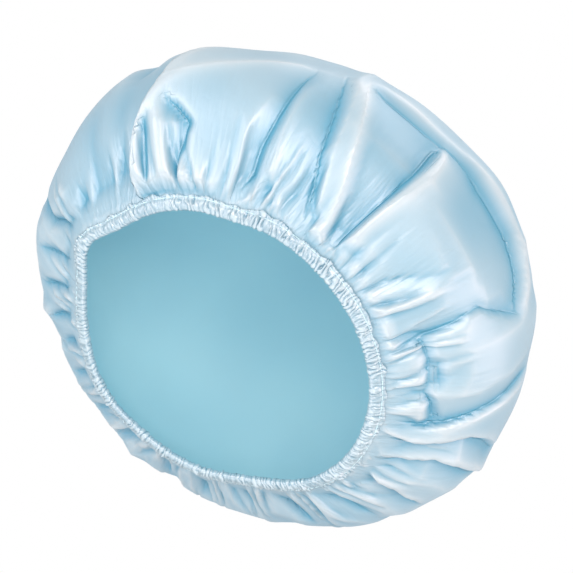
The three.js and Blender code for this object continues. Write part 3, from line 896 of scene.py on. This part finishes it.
def gathered_points(sizes, meridian):
    """Points of the gathered cloth, its last row at the pole, and their relief from 0 to 1, which paints
    shade and highlight.

    The cloth is drawn in level by level. Above its gathers only the broad part of that is kept, with the
    designed creases on top. At the end it is levelled into facets, held within its limits and leant over.
    """
    moved = None
    for level in LEVELS:
        row = cloth_rows(meridian, sizes.cloth_start, level.rows)
        s, degrees = cloth_grid(row, level.columns)
        angle = np.radians(degrees)
        r, _, nr, nz = meridian.at(s)
        base = turned_surface(meridian, s, angle, body_lift(degrees, s / MM) * MM)
        normal = np.stack([nr * np.cos(angle), nr * np.sin(angle), nz], axis=-1)
        target = cloth_lift(degrees, s / MM, r / MM) * MM
        if moved is None:
            points = base + normal * target[..., None]
        else:
            points = base + turn_axes(doubled(moved), angle)
        free = between(FREE_START, FREE_END, row / MM)
        round_length = r[:, 0] * (1 + excess(row, level.hem, level.middle)) * 2 * np.pi / level.columns
        up_length = np.linalg.norm(np.diff(base[:, 0], axis=0), axis=-1)
        cross_length = np.hypot(up_length, (round_length[1:] + round_length[:-1]) / 2)
        lengths = (round_length, up_length, cross_length)
        points = draw_in(points, base, normal, free, lengths, lift_limits(s), target, level)
        moved = turn_axes(points - base, -angle)
    above = smoothstep(*ABOVE_GATHERS, s / MM)[..., None]
    crease = SHARPEN * (target - blurred(target, SHARP_ROUNDS))
    detail = FACET_SHARE * (target - blurred(target, BROAD_ROUNDS))
    smooth = base + turn_axes(blurred(moved, BROAD_ROUNDS), angle) + normal * detail[..., None]
    points = (points + normal * crease[..., None]) * (1 - above) + smooth * above
    points = unfolded(points, normal)
    points = crisp_facets(points, free, np.interp(row / MM, FACET_AT, FACET_TURNS))
    points = unfolded(points, normal)
    lift = ((points - base) * normal).sum(axis=-1)
    held = np.clip(lift, *lift_limits(s))
    points = points + normal * (held - lift)[..., None]
    around = crease_slide(degrees, s / MM, r / MM)
    points = points + normal * (sizes.cloth_gap / 2 + sizes.cloth_thickness)
    return turn_axes(points, around * MM / np.maximum(r, MM)), local_relief(held / MM)


def neighbours(field):
    """The field's four neighbours on the grid, which closes round its columns and ends at its rows."""
    return (np.roll(field, 1, axis=1), np.roll(field, -1, axis=1),
            np.concatenate([field[:1], field[:-1]]), np.concatenate([field[1:], field[-1:]]))


def face_planes(points):
    """Middle and unit normal of each square of the grid."""
    after = np.roll(points, -1, axis=1)
    a, b, c, d = points[:-1], after[:-1], after[1:], points[1:]
    across = np.cross(c - a, d - b)
    return (a + b + c + d) / 4, across / (np.linalg.norm(across, axis=-1, keepdims=True) + TINY_AREA)


def crisp_facets(points, free, edge):
    """Turns soft bends into flat facets with sharp edges between them, as thin film creases.

    Each square's normal is averaged with those of its neighbours that point nearly the same way. Then
    points move along the normals of the squares round them until they lie in their planes. edge is the
    turn from square to square that counts as an edge, for each row.
    """
    _, normals = face_planes(points)
    spread = 2 * edge[:-1, None, None] ** 2
    for _ in range(FACET_ROUNDS):
        total = normals.copy()
        for near in neighbours(normals):
            turn = ((near - normals) ** 2).sum(axis=-1, keepdims=True)
            total += near * np.exp(-turn / spread)
        normals = total / np.linalg.norm(total, axis=-1, keepdims=True)
    for _ in range(FACET_ROUNDS):
        middles, _ = face_planes(points)
        high = np.einsum("ijk,ijk->ij", normals, middles)
        move = np.zeros_like(points)
        for rows in (slice(None, -1), slice(1, None)):
            for shift in (0, 1):
                corner = np.roll(points[rows], -shift, axis=1)
                step = normals * (high - np.einsum("ijk,ijk->ij", normals, corner))[..., None]
                move[rows] += np.roll(step, shift, axis=1) / 4
        points = points + move * free[:, None, None]
    return points


def unfolded(points, normal):
    """Smooths the squares of the cloth that have turned over, until all of them face outwards."""
    for _ in range(UNFOLD_ROUNDS):
        _, facing = face_planes(points)
        over = (facing * normal[:-1]).sum(axis=-1) < TURNED_OVER
        corner = np.zeros(points.shape[:2], bool)
        for side in (over, np.roll(over, 1, axis=1)):
            corner[:-1] |= side
            corner[1:] |= side
        if not corner.any():
            break
        middle = sum(neighbours(points)) / 4
        points = np.where(corner[..., None], (points + middle) / 2, points)
    return points


def blurred(field, times):
    """A field on the grid averaged with its neighbours a number of times."""
    for _ in range(times):
        field = (2 * field + np.roll(field, 1, axis=1) + np.roll(field, -1, axis=1)) / 4
        field[1:-1] = (2 * field[1:-1] + field[2:] + field[:-2]) / 4
    return field


def local_relief(lift):
    """How far each point stands above its surroundings, from 0 in a valley to 1 on a ridge, as the share
    of painted highlight over painted shade.
    """
    near = lift - blurred(lift, NEAR_ROUNDS)
    wide = lift - blurred(lift, WIDE_ROUNDS)
    return np.clip(0.5 + near / NEAR_HEIGHT + wide / WIDE_HEIGHT, 0, 1)


# Wrinkles of the outer cloth: their least share, where they begin to fade, and how fast
WRINKLE_LEAST, WRINKLE_FROM, WRINKLE_REACH = 0.12, 10, 26


class CAP_OT_outer_cloth(bpy.types.Operator):
    """Adds the gathered outer cloth"""
    bl_idname = "cap.outer_cloth"
    bl_label = "Outer Cloth"

    def execute(self, context):
        sizes, colours = context.scene.cap_sizes, context.scene.cap_colours
        meridian = Meridian(sizes)
        points, relief = gathered_points(sizes, meridian)
        mesh = grid_mesh("outer_cloth", points[:-1], points[-1].mean(axis=0))
        rows, columns = points.shape[:2]
        s, degrees = cloth_grid(cloth_rows(meridian, sizes.cloth_start, rows)[:-1], columns)
        angle = np.radians(degrees)
        across, line = crease_lines(degrees, s / MM, meridian.at(s)[0] / MM)
        # The relief paints shade into the folds and highlights onto the ridges.
        set_values(mesh, "relief", relief[:-1])
        wrinkles = np.exp(-np.clip(s / MM - WRINKLE_FROM, 0, None) / WRINKLE_REACH)
        set_values(mesh, "gather", WRINKLE_LEAST + (1 - WRINKLE_LEAST) * wrinkles)
        set_values(mesh, "lay", np.stack([np.cos(angle), np.sin(angle), s], axis=-1), vectors=True)
        set_values(mesh, "crease", across)
        set_values(mesh, "line", line)
        material = film_material(OUTER_FILM, colours.film, colours.film_painted_highlight)
        piece = add_piece("outer_cloth", mesh, material, "outer_shell")
        thicken(piece, sizes.cloth_thickness, -1)
        return {'FINISHED'}


# Lining: its grid, and how far it hangs clear of the folds in millimetres, from and to these distances
LINING_ROWS, LINING_COLUMNS = 65, 192
LINING_DROP, LINING_START = 8.4, (7, 40)


class CAP_OT_lining(bpy.types.Operator):
    """Adds the smooth lining"""
    bl_idname = "cap.lining"
    bl_label = "Lining"

    def execute(self, context):
        sizes, colours = context.scene.cap_sizes, context.scene.cap_colours
        meridian = Meridian(sizes)
        s, degrees = cloth_grid(cloth_rows(meridian, sizes.cloth_start, LINING_ROWS)[:-1], LINING_COLUMNS)
        drop = MM * LINING_DROP * smoothstep(*LINING_START, s / MM)
        depth = sizes.cloth_gap / 2 + sizes.cloth_thickness + drop
        points = turned_surface(meridian, s, np.radians(degrees), body_lift(degrees, s / MM) * MM - depth)
        pole = (0, 0, meridian.line[-1][1] - depth[-1, 0])
        mesh = grid_mesh("lining_cloth", points, pole)
        material = film_material(LINING_FILM, colours.lining, colours.lining_pale)
        piece = add_piece("lining_cloth", mesh, material, "inner_liner")
        thicken(piece, sizes.cloth_thickness, 1)
        return {'FINISHED'}


# Unevenness of the binding's puckers: waves of their place and of their depth, and the mean depth
HEM_SHIFTS = ((1.6, 9, 0, 0.4), (1.2, 17, 0, 2.2), (1.0, 37, 0, 5.1))
HEM_DEPTHS = ((0.2, 13, 0, 1.0), (0.22, 43, 0, 3.3), (0.2, 71, 0, 0.2))
MEAN_DEPTH = 0.85

# Places of the seam and of the fullest puckers across the binding, from 0 at its fold to 1 at its lip, how
# much the seam and the lip thin it, unevenness and heights of its puckers, and share of the small ones
SEAM_AT, FULLEST_AT = 0.8, 0.42
SEAM_PINCH, LIP_PINCH = 0.42, 0.2
PUCKER_UNEVEN, PUCKER_HEIGHTS, SMALL_PUCKERS = 0.42, (0.3, 1.8), 0.3

# Points along each face of the binding, round its fold and round the cap, and the strip's length as a
# share of the relaxed hem's
FACE_POINTS, FOLD_POINTS, BINDING_COLUMNS = 9, 9, 1800
PUCKER_LENGTH = 1.3


def hem_wave(degrees):
    """Unevenness of the puckers round the hem: a shift of their phase and a change of their depth."""
    turn = np.radians(degrees)
    return wave_sum(HEM_SHIFTS, turn), wave_sum(HEM_DEPTHS, turn, start=MEAN_DEPTH)


def pucker(sizes, degrees, u, side):
    """Height of the binding's puckers in metres, and their relief, which paints glints on their crests and
    shade in their gaps: slanted uneven puffs.

    They are deepest half way up the casing, shallow at the seam and open out again at the lip, with
    smaller ones across them.
    """
    shift, depth = hem_wave(degrees)
    at = u / sizes.binding_width
    slant = side * (1.1 * at + 0.45 * np.sin(5 * at + 3 * shift)) + 0.25 * shift
    crossing = degrees - 1.7 * slant + 0.6 * np.sin(9 * at + shift)
    broad, number = puffs(degrees + slant, sizes.puckers, PUCKER_UNEVEN, 3)
    fine, _ = puffs(crossing, 2 * sizes.puckers, PUCKER_UNEVEN, 5)
    heights = np.random.default_rng(9).uniform(*PUCKER_HEIGHTS, sizes.puckers)
    wave = depth * heights[number] * (broad - 0.55) + SMALL_PUCKERS * (fine - 0.5)
    full = 1.3 * np.exp(-((at - FULLEST_AT) / 0.26) ** 2)
    rise = 0.8 + full - 0.4 * np.exp(-((at - SEAM_AT) / 0.07) ** 2)
    return MM * rise * wave, np.clip(0.5 + 1.1 * wave, 0, 1)


def binding_section(sizes, count):
    """The folded strip's section from its inner lip round the fold to its outer lip.

    It gives u, v and the side, from -1 inside to 1 outside, with count points on each face. The strip is
    pinched at the seam and thinner at the lips.
    """
    nose = sizes.binding_half * NOSE
    face = nose + (sizes.binding_width - nose) * np.linspace(1, 0, count)
    turn = np.linspace(-np.pi / 2, np.pi / 2, FOLD_POINTS)[1:-1]
    u = np.concatenate([face, nose - nose * np.cos(turn), face[::-1]])
    side = np.concatenate([-np.ones(count), np.sin(turn), np.ones(count)])
    at = u / sizes.binding_width
    pinch = SEAM_PINCH * np.exp(-((at - SEAM_AT) / 0.09) ** 2)
    half = sizes.binding_half * (1 - pinch - LIP_PINCH * smoothstep(0.9, 1.0, at))
    return u, half * side, side


def binding_points(sizes, degrees, u, v, side):
    """Points of the puckered binding and their relief, for painted glints and shade; its lowest edge is
    flat, to stand on.
    """
    shift, depth = hem_wave(degrees)
    height, relief = pucker(sizes, degrees, u, side)
    lengthen = MM * (0.4 * shift + 1.4 * (depth - MEAN_DEPTH)) * u / sizes.binding_width
    r, z = hem_point(sizes, u + lengthen - height * (1 - np.abs(side)), v + height * side)
    return spun(r, np.maximum(z, 0.0), np.radians(degrees)), relief


class CAP_OT_binding(bpy.types.Operator):
    """Adds the puckered hem binding"""
    bl_idname = "cap.binding"
    bl_label = "Hem Binding"

    def execute(self, context):
        sizes, colours = context.scene.cap_sizes, context.scene.cap_colours
        u, v, side = binding_section(sizes, FACE_POINTS)
        degrees = np.arange(BINDING_COLUMNS) * 360 / BINDING_COLUMNS
        section = [each[:, None] for each in (u, v, side)]
        points, relief = binding_points(sizes, degrees[None, :], *section)
        mesh = grid_mesh("hem_binding_cloth", points)
        # The relief paints glints on the puckers' crests and shade in their gaps.
        set_values(mesh, "relief", relief)
        material = film_material(BINDING_FILM, colours.binding, colours.binding_painted_glint)
        piece = add_piece("hem_binding_cloth", mesh, material, "hem_binding")
        thicken(piece, sizes.cloth_thickness, -1)
        width = np.hypot(np.diff(u), np.diff(v)).sum()
        length = 2 * np.pi * hem_point(sizes, sizes.binding_width / 2, 0)[0] * PUCKER_LENGTH
        return {'FINISHED'}


# Elastic: points along it and across it, how far its lapped ends drift apart in thicknesses, its ribs and
# their height, and the look of its yarns
ELASTIC_ROWS, ELASTIC_COLUMNS = 400, 33
LAP_DRIFT = 0.58
RIBS, RIB_HEIGHT = 4, 0.07
WEBBING_LOOK = {"Roughness": 0.85}


class CAP_OT_elastic(bpy.types.Operator):
    """Adds the lapped elastic inside the binding"""
    bl_idname = "cap.elastic"
    bl_label = "Elastic"

    def execute(self, context):
        sizes, colours = context.scene.cap_sizes, context.scene.cap_colours
        middle = hem_point(sizes, sizes.elastic_middle, 0)[0]
        lap = np.degrees(sizes.elastic_lap / middle)
        degrees = np.linspace(0, 360 + lap, ELASTIC_ROWS)
        drift = sizes.elastic_thickness * LAP_DRIFT * (2 * smoothstep(lap, 360, degrees) - 1)
        across = np.linspace(-1, 1, ELASTIC_COLUMNS)
        edge = 0.2 * smoothstep(0.9, 1.0, np.abs(across))
        rib = 0.5 + RIB_HEIGHT * np.cos(2 * RIBS * np.pi * across) - edge
        around = np.concatenate([across, across[::-1]])
        side = np.concatenate([rib, -rib[::-1]])
        u = sizes.elastic_middle + sizes.elastic_width / 2 * around[:, None]
        v = sizes.elastic_thickness * side[:, None] + drift[None, :]
        r, z = hem_point(sizes, u, v)
        points = spun(r, z, np.radians(degrees)[None, :])
        mesh = strip_mesh("elastic_webbing", points.transpose(1, 0, 2))
        material = yarn_material("Elastic webbing", colours.elastic, 0.9, 700, WEBBING_LOOK, relief=900)
        add_piece("elastic_webbing", mesh, material, "elastic_band")
        return {'FINISHED'}


# Threads: points along a stitch, round the tube and along the face they lie on, how far a stitch stands
# off it and dips at its ends, in thread radii, and the look of the yarn
STITCH_POINTS, TUBE_POINTS, SEAM_POINTS = 10, 6, 15
STITCH_STAND, STITCH_DIP, STITCH_POWER = 1.1, 2.2, 6
THREAD_LOOK = {"Roughness": 0.6, "Sheen Weight": 0.3}
THREADS = (("needle_thread", "hem_needle_thread", 1.0), ("bobbin_thread", "hem_bobbin_thread", -1.0))


def thread_points(sizes, side):
    """A tube round the seam that lies on the binding and dips into a hole at the end of every stitch."""
    number = np.arange(STITCH_POINTS * sizes.stitches)
    degrees = number * (360 / STITCH_POINTS) / sizes.stitches
    u, v, sides = binding_section(sizes, SEAM_POINTS)
    outwards = u * np.sign(sides) * side
    order = np.argsort(outwards)
    half = np.interp(sizes.stitch_at, outwards[order], np.abs(v)[order])
    along = (number % STITCH_POINTS) / STITCH_POINTS
    stand = sizes.thread_radius * (STITCH_STAND - STITCH_DIP * np.abs(2 * along - 1) ** STITCH_POWER)
    height = half + pucker(sizes, degrees, sizes.stitch_at, side)[0] + stand
    turn = np.linspace(0, 2 * np.pi, TUBE_POINTS + 1)[:-1][:, None]
    u = sizes.stitch_at + sizes.thread_radius * np.cos(turn) * side
    v = side * height[None, :] + sizes.thread_radius * np.sin(turn)
    r, z = hem_point(sizes, np.broadcast_to(u, v.shape), v)
    return spun(r, z, np.radians(degrees)[None, :])[::int(-side)]


class CAP_OT_threads(bpy.types.Operator):
    """Adds the needle thread and the bobbin thread of the hem's seam"""
    bl_idname = "cap.threads"
    bl_label = "Seam Threads"

    def execute(self, context):
        sizes, colours = context.scene.cap_sizes, context.scene.cap_colours
        material = yarn_material("Seam thread", colours.thread, 1.2, 1500, THREAD_LOOK)
        for name, node, side in THREADS:
            mesh = grid_mesh(name, thread_points(sizes, side), tube=True)
            add_piece(name, mesh, material, node)
        return {'FINISHED'}


class CAP_OT_stage(bpy.types.Operator):
    """Adds the floor, the lights, the world and the camera"""
    bl_idname = "cap.stage"
    bl_label = "Stage"

    def execute(self, context):
        scene = context.scene
        stage = scene.cap_stage
        scene.view_settings.view_transform = 'Standard'
        add_floor(scene)
        add_world(scene)
        axes, pivot = camera_axes(stage)
        add_camera(scene, stage, axes, pivot)
        for light in SOFTBOXES:
            add_softbox(scene, light, axes, pivot)
        return {'FINISHED'}


# Softboxes: place right, up and towards the camera from the pivot, in the picture's axes; size in metres
Softbox = namedtuple("Softbox", "name place size watts colour")
SOFTBOXES = (
    Softbox("front_softbox", (0.15, 0.2, 1.5), 0.7, 12.5, (1.0, 0.97, 0.94)),
    Softbox("left_softbox", (-1.0, 0.3, 0.7), 0.8, 6.8, (0.96, 0.98, 1.0)),
    Softbox("right_softbox", (1.0, -0.4, 0.35), 0.8, 5.5, (1.0, 0.88, 0.86)),
    Softbox("low_softbox", (-0.5, -1.0, 0.6), 0.9, 5.5, (0.98, 0.99, 1.0)),
    Softbox("top_softbox", (0.6, 0.95, -0.45), 0.9, 6.0, (1.0, 1.0, 1.0)),
)

# The world's light on the cap. The floor's half side, drop below the hem, fade, look and hidden rays
FILL_COLOUR, FILL_STRENGTH = (0.94, 0.97, 1, 1), 0.47
FLOOR_HALF, FLOOR_DROP = 2.0, 0.0002
FLOOR_FADE = {"From Min": 0.2, "From Max": 0.7}
FLOOR_LOOK = {"Base Color": (0.86, 0.87, 0.88, 1), "Roughness": 0.9}
FLOOR_HIDDEN_FROM = ("shadow", "diffuse", "glossy", "transmission")
SENSOR_WIDTH = 36


def camera_axes(stage):
    """The picture's right, up and back directions, rolled about the line of sight, and the pivot."""
    back = Vector((0, -math.cos(stage.elevation), math.sin(stage.elevation)))
    right = Vector((1, 0, 0))
    up = back.cross(right)
    cos, sin = math.cos(stage.roll), math.sin(stage.roll)
    rolled_right = cos * right + sin * up
    rolled_up = cos * up - sin * right
    return (rolled_right, rolled_up, back), Vector((0, 0, stage.pivot_height))


def add_camera(scene, stage, axes, pivot):
    """A camera at its distance from the pivot, aimed at the middle of the picture."""
    right, up, back = axes
    place = pivot + stage.distance * back
    target = pivot + stage.aim_right * right + stage.aim_up * up
    away = (place - target).normalized()
    side = up.cross(away).normalized()
    top = away.cross(side)
    data = bpy.data.cameras.new("photo_camera")
    data.lens = stage.lens
    data.sensor_width = SENSOR_WIDTH
    data.sensor_fit = 'HORIZONTAL'
    camera = bpy.data.objects.new("photo_camera", data)
    camera.matrix_world = Matrix.Translation(place) @ Matrix((side, top, away)).transposed().to_4x4()
    scene.collection.objects.link(camera)
    scene.camera = camera


def add_softbox(scene, light, axes, pivot):
    """A square area light that faces the pivot."""
    place = pivot + sum((amount * axis for amount, axis in zip(light.place, axes)), Vector())
    data = bpy.data.lights.new(light.name, 'AREA')
    data.size = light.size
    data.energy = light.watts
    data.color = light.colour
    lamp = bpy.data.objects.new(light.name, data)
    lamp.visible_camera = False
    facing = (place - pivot).to_track_quat('Z', 'Y').to_matrix().to_4x4()
    lamp.matrix_world = Matrix.Translation(place) @ facing
    scene.collection.objects.link(lamp)


def add_world(scene):
    """White to the camera and in reflections, and an even soft light on the cap."""
    scene.world = bpy.data.worlds.new("Studio")
    tree = empty_tree(scene.world)
    path = add_node(tree, "LightPath").outputs
    seen = add_math(tree, 'MAXIMUM', path["Is Camera Ray"], path["Is Glossy Ray"])
    seen = add_math(tree, 'MAXIMUM', seen, path["Is Transmission Ray"])
    fill = add_node(tree, "Background", {"Color": FILL_COLOUR, "Strength": FILL_STRENGTH})
    white = add_node(tree, "Background", {"Color": (1, 1, 1, 1)})
    add_node(tree, "OutputWorld", {"Surface": add_mix(tree, seen, fill, white).outputs[0]})


def add_floor(scene):
    """A pale floor that takes the shadow and fades out round the cap.

    It shows only from above, because the photograph looks up from below it.
    """
    corners = np.array([(-1, -1, 0), (1, -1, 0), (1, 1, 0), (-1, 1, 0)]) * FLOOR_HALF
    mesh = finished_mesh("floor", corners - [0, 0, FLOOR_DROP], [(0, 1, 2, 3)])
    material = bpy.data.materials.new("Pale floor")
    tree = empty_tree(material)
    place = add_node(tree, "TexCoord").outputs["Object"]
    far = add_node(tree, "VectorMath", {0: place}, operation='LENGTH').outputs["Value"]
    fade = add_node(tree, "MapRange", {"Value": far, **FLOOR_FADE}, interpolation_type='SMOOTHSTEP')
    below = add_node(tree, "NewGeometry").outputs["Backfacing"]
    gone = add_math(tree, 'MAXIMUM', fade.outputs["Result"], below)
    shader = add_node(tree, "BsdfPrincipled", FLOOR_LOOK)
    clear = add_node(tree, "BsdfTransparent")
    add_node(tree, "OutputMaterial", {"Surface": add_mix(tree, gone, shader, clear).outputs[0]})
    mesh.materials.append(material)
    floor = bpy.data.objects.new("floor", mesh)
    scene.collection.objects.link(floor)
    for ray in FLOOR_HIDDEN_FROM:
        setattr(floor, "visible_" + ray, False)


OPERATORS = (
    CAP_OT_outer_cloth, CAP_OT_lining, CAP_OT_binding, CAP_OT_elastic, CAP_OT_threads, CAP_OT_stage,
)


class CAP_PT_panel(bpy.types.Panel):
    """Lists the cap's pieces in the sidebar"""
    bl_idname = "CAP_PT_panel"
    bl_label = "Shower Cap"
    bl_space_type = 'VIEW_3D'
    bl_region_type = 'UI'
    bl_category = "Shower Cap"

    def draw(self, context):
        for operator in OPERATORS:
            self.layout.operator(operator.bl_idname)


CLASSES = (CapSizes, CapColours, StageSettings, *OPERATORS, CAP_PT_panel)


def register():
    for cls in CLASSES:
        bpy.utils.register_class(cls)
    bpy.types.Scene.cap_sizes = PointerProperty(type=CapSizes)
    bpy.types.Scene.cap_colours = PointerProperty(type=CapColours)
    bpy.types.Scene.cap_stage = PointerProperty(type=StageSettings)


def unregister():
    del bpy.types.Scene.cap_stage
    del bpy.types.Scene.cap_colours
    del bpy.types.Scene.cap_sizes
    for cls in reversed(CLASSES):
        bpy.utils.unregister_class(cls)


def main():
    register()
    for operator in OPERATORS:
        category, name = operator.bl_idname.split(".")
        getattr(getattr(bpy.ops, category), name)()


if __name__ == "__main__":
    main()
